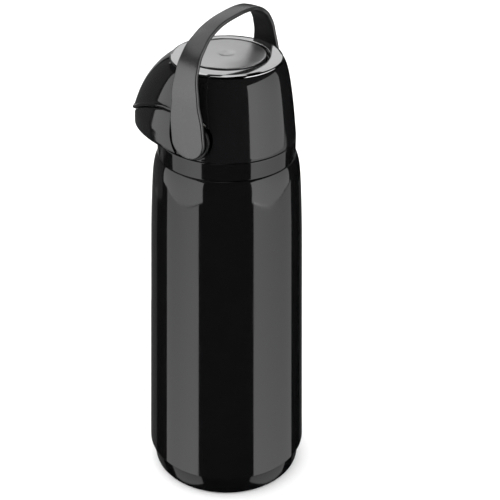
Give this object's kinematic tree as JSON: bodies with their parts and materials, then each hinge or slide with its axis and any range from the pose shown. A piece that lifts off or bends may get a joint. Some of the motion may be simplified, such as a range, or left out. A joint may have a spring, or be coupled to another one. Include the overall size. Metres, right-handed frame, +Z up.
{
  "type": "thermal coffee airpot",
  "caption": "Glass-lined vacuum flask with a press-disc pump head, a spout nose and a swinging carrying handle.",
  "frame": {"origin": "on the flask's axis, in the plane it stands on", "axes": "+Z up along the flask's axis, -Y towards the spout nose, X parallel to the handle's pivot axis"},
  "size_m": [0.125, 0.1383, 0.3827],
  "materials": {
    "black_gloss": "high gloss moulded black",
    "black_satin": "satin moulded black",
    "strap_black": "satin black with a fine even grain",
    "silver_disc": "satin silver",
    "polished_rim": "polished",
    "silvered_glass": "silvered glass",
    "black_rubber": "matt",
    "silicone": "milky",
    "natural_plastic": "milky natural",
    "steel": "bright drawn"
  },
  "bodies": {
    "flask": {"outer_body": "black_gloss", "base_cap": "black_satin", "base_grip_pad": "black_rubber", "liner_support_pad": "black_rubber", "liner_outer_bottle": "silvered_glass", "liner_inner_bottle": "silvered_glass", "liner_tip_seal": "silvered_glass", "liner_shoulder_ring": "black_rubber", "neck_collar": "black_gloss", "mouth_gasket": "silicone"},
    "riser": {"riser_tube": "natural_plastic", "riser_foot": "natural_plastic"},
    "pump_head": {"head_shell": "black_gloss", "nose_lower_shell": "black_gloss", "rim_ring": "polished_rim", "button_guide": "black_satin", "pump_base": "black_satin", "closure_disc": "black_satin", "closure_ring": "silicone", "riser_seal": "silicone", "valve_body": "natural_plastic", "outlet_valve_flap": "silicone", "air_chamber": "black_satin", "inlet_valve_flap": "silicone", "chamber_screw_1": "steel", "chamber_screw_2": "steel", "chamber_screw_3": "steel", "chamber_screw_4": "steel", "spout_tube": "natural_plastic", "spout_nozzle": "black_satin", "bellows": "silicone", "bellows_clamp_ring": "black_satin", "return_spring": "steel", "pivot_hub_left": "black_gloss", "pivot_hub_right": "black_gloss", "pivot_washer_left": "steel", "pivot_washer_right": "steel"},
    "button": {"press_disc": "silver_disc", "button_plunger": "black_satin", "vent_valve": "silicone"},
    "handle": {"handle_strap": "strap_black", "handle_pin_left": "black_satin", "handle_pin_right": "black_satin"}
  },
  "joints": [
    {"name": "head_lift", "type": "slide", "parent": "flask", "child": "riser", "axis": [0, 0, 1], "range_m": [0, 0.285]},
    {"name": "head_turn", "type": "hinge", "parent": "riser", "child": "pump_head", "pos_m": [0, 0, 0.2896], "axis": [0, 0, 1], "range_deg": [0, 180]},
    {"name": "button_press", "type": "slide", "parent": "pump_head", "child": "button", "axis": [0, 0, -1], "range_m": [0, 0.02], "stiffness_N_per_m": 500, "springref_m": -0.006, "deforming": ["bellows", "return_spring"]},
    {"name": "handle_swing", "type": "hinge", "parent": "pump_head", "child": "handle", "pos_m": [0, 0.0025, 0.305], "axis": [-1, 0, 0], "range_deg": [0, 95]}
  ]
}
